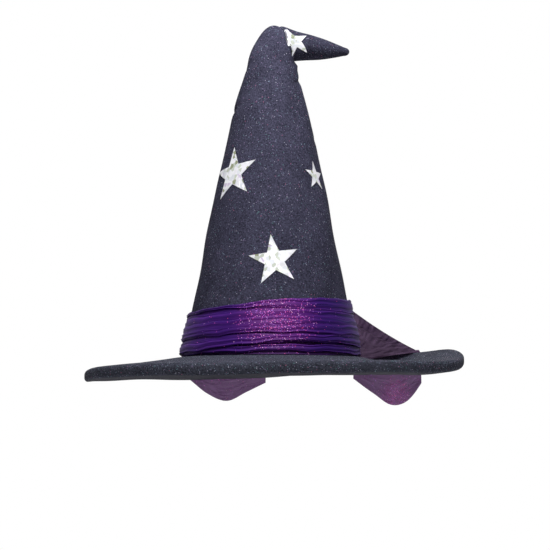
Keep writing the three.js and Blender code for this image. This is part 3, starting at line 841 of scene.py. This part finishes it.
# %% Lining materials
def knit_material(name, dark, light, stitch, axis_scale):
    """A warp knit: rows of small loops, as wave bands broken by a second wave across them."""
    material, tree, shader = new_material(name, {"Roughness": 0.9, "Sheen Weight": 0.3})
    uv = add(tree, "TexCoord").outputs["UV"]
    wales = add(tree, "TexWave", {"Vector": uv, "Scale": stitch * axis_scale}, bands_direction="X")
    courses = add(tree, "TexWave", {"Vector": uv, "Scale": stitch}, bands_direction="Y")
    loops = add(tree, "Math", {0: wales.outputs["Fac"], 1: courses.outputs["Fac"]}, operation="MULTIPLY")
    yarn = ramp(tree, loops.outputs[0], [(0.1, linear(dark)), (0.8, linear(light))])
    tree.links.new(yarn, shader.inputs["Base Color"])
    bump = add(tree, "Bump", {"Strength": 0.5, "Distance": 0.0005, "Height": loops.outputs[0]})
    tree.links.new(bump.outputs[0], shader.inputs["Normal"])
    return material


band_knit = knit_material("knitted sweatband", "#0e0d12", "#24222b", 6.0, 12.0)
tape_weave = knit_material("woven seam tape", "#121117", "#2b2933", 24.0, 0.4)
label_satin = knit_material("satin label", "#b9b7bd", "#dcdae0", 8.0, 1.4)


# %% Lining pieces
def sweatband():
    around = np.linspace(-np.pi, np.pi, 240, endpoint=False)[None]
    across = np.linspace(-np.pi, np.pi, 40, endpoint=False)[:, None]
    height = 0.0215 + 0.0200 * np.sign(np.sin(across)) * np.abs(np.sin(across)) ** 0.35
    off = -FOAM - 0.0011 + 0.0007 * np.sign(np.cos(across)) * np.abs(np.cos(across)) ** 0.5
    corners = on_crown(around, height, off)
    return grid_mesh("sweatband_knit", corners, around=True, along=True, scale=(1 / 240, 1 / 40))


def patch(name, width, height, bearing, along, off, thick, rows, columns):
    """A thin flat piece on the cone's inside, its open sides filled."""
    x = np.linspace(-width / 2, width / 2, columns)[None]
    y = np.linspace(-height / 2, height / 2, rows)[:, None]
    radius = np.minimum(cone_radius(along + y) - FOAM, cone_radius(np.array(along)) - FOAM)
    outer = on_crown(bearing + x / radius, along + y + 0 * x, off)
    inner = on_crown(bearing + x / radius, along + y + 0 * x, off - thick)
    corners = np.concatenate([outer, inner[::-1]])
    piece = grid_mesh(name, corners, along=True, scale=(1 / columns, 1 / rows), flip=True)
    filled = bmesh.new()
    filled.from_mesh(piece.data)
    bmesh.ops.holes_fill(filled, edges=[e for e in filled.edges if e.is_boundary])
    bmesh.ops.recalc_face_normals(filled, faces=filled.faces)
    filled.to_mesh(piece.data)
    filled.free()
    return piece


BACK = np.pi / 2
band = sweatband()
seam_tape = patch("seam_tape", 0.022, 0.275, BACK, 0.1875, -FOAM - 0.0003, 0.0008, rows=120, columns=12)
blank_label = patch("blank_label", 0.030, 0.022, BACK, 0.020, -FOAM - 0.0022, 0.0006, rows=20, columns=24)
lining = {
    "sweatband": (band, band_knit, "lining_knit"),
    "crown_seam_tape": (seam_tape, tape_weave, "seam_tape"),
    "care_label": (blank_label, label_satin, "label_satin"),
}
for node, (piece, material, slot_name) in lining.items():
    piece.data.materials.append(material)
    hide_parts(node)
    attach(piece, "hat")

# %% [markdown]
# ## Floor and light
#
# A pale, faintly glowing floor well below the hat lights it from underneath, and the camera doesn't see it.
# The surround is white to the camera, a little over half as bright in reflections, so that the foil has
# something to mirror, and dim as a light on matt faces. The lamps are square and soft: two above in front,
# one far in front, a weak one on each side and one behind.

# %% Floor, surround and lamps
floor_size, floor_height = 1.5, -0.45
floor_mesh = bpy.data.meshes.new("floor")
unit_square = ((-1, -1), (1, -1), (1, 1), (-1, 1))
floor_corners = [(x * floor_size, y * floor_size, floor_height) for x, y in unit_square]
floor_mesh.from_pydata(floor_corners, [], [(0, 1, 2, 3)])
floor = bpy.data.objects.new("floor", floor_mesh)
bpy.context.scene.collection.objects.link(floor)
pale = {"Base Color": linear("#f2f2f2"), "Roughness": 0.9,
        "Emission Color": linear("#ffffff"), "Emission Strength": 0.35}
floor.data.materials.append(new_material("pale floor", pale)[0])
floor.visible_camera = False

world = bpy.data.worlds.new("white surround")
bpy.context.scene.world = world
world.use_nodes = True
seen = add(world.node_tree, "LightPath")
mirrored = add(world.node_tree, "Math", {0: seen.outputs["Is Glossy Ray"], 1: 0.55}, operation="MULTIPLY")
both = {0: seen.outputs["Is Camera Ray"], 1: mirrored.outputs[0]}
shown = add(world.node_tree, "Math", both, operation="MAXIMUM")
strength = add(world.node_tree, "MapRange", {"Value": shown.outputs[0], "To Min": 0.10, "To Max": 1.0})
world.node_tree.nodes["Background"].inputs["Color"].default_value = (1.0, 1.0, 1.0, 1.0)
world.node_tree.links.new(strength.outputs[0], world.node_tree.nodes["Background"].inputs["Strength"])
bpy.context.scene.view_settings.view_transform = "Standard"


def lamp(name, place, size, power, towards=(0.0, 0.0, 0.15)):
    """A square soft lamp at a place, turned towards a point."""
    data = bpy.data.lights.new(name, "AREA")
    data.shape, data.size, data.energy = "SQUARE", size, power
    made = bpy.data.objects.new(name, data)
    made.location = place
    made.rotation_euler = (Vector(towards) - Vector(place)).to_track_quat("-Z", "Y").to_euler()
    bpy.context.scene.collection.objects.link(made)
    return made


lamp("key", (0.04, -0.60, 1.00), 0.5, 12.5, towards=(0.0, 0.0, 0.37))
lamp("top", (0.02, -0.42, 0.86), 0.3, 5.2, towards=(0.0, 0.0, 0.38))
lamp("front_panel", (0.0, -2.5, 1.35), 2.0, 6.0, towards=(0.0, 0.0, 0.15))
lamp("fill_left", (-2.2, -0.5, 0.9), 1.6, 1.5)
lamp("fill_right", (2.2, -0.6, 0.9), 1.6, 1.5)
lamp("back", (0.3, 2.0, 1.4), 1.6, 8.0)
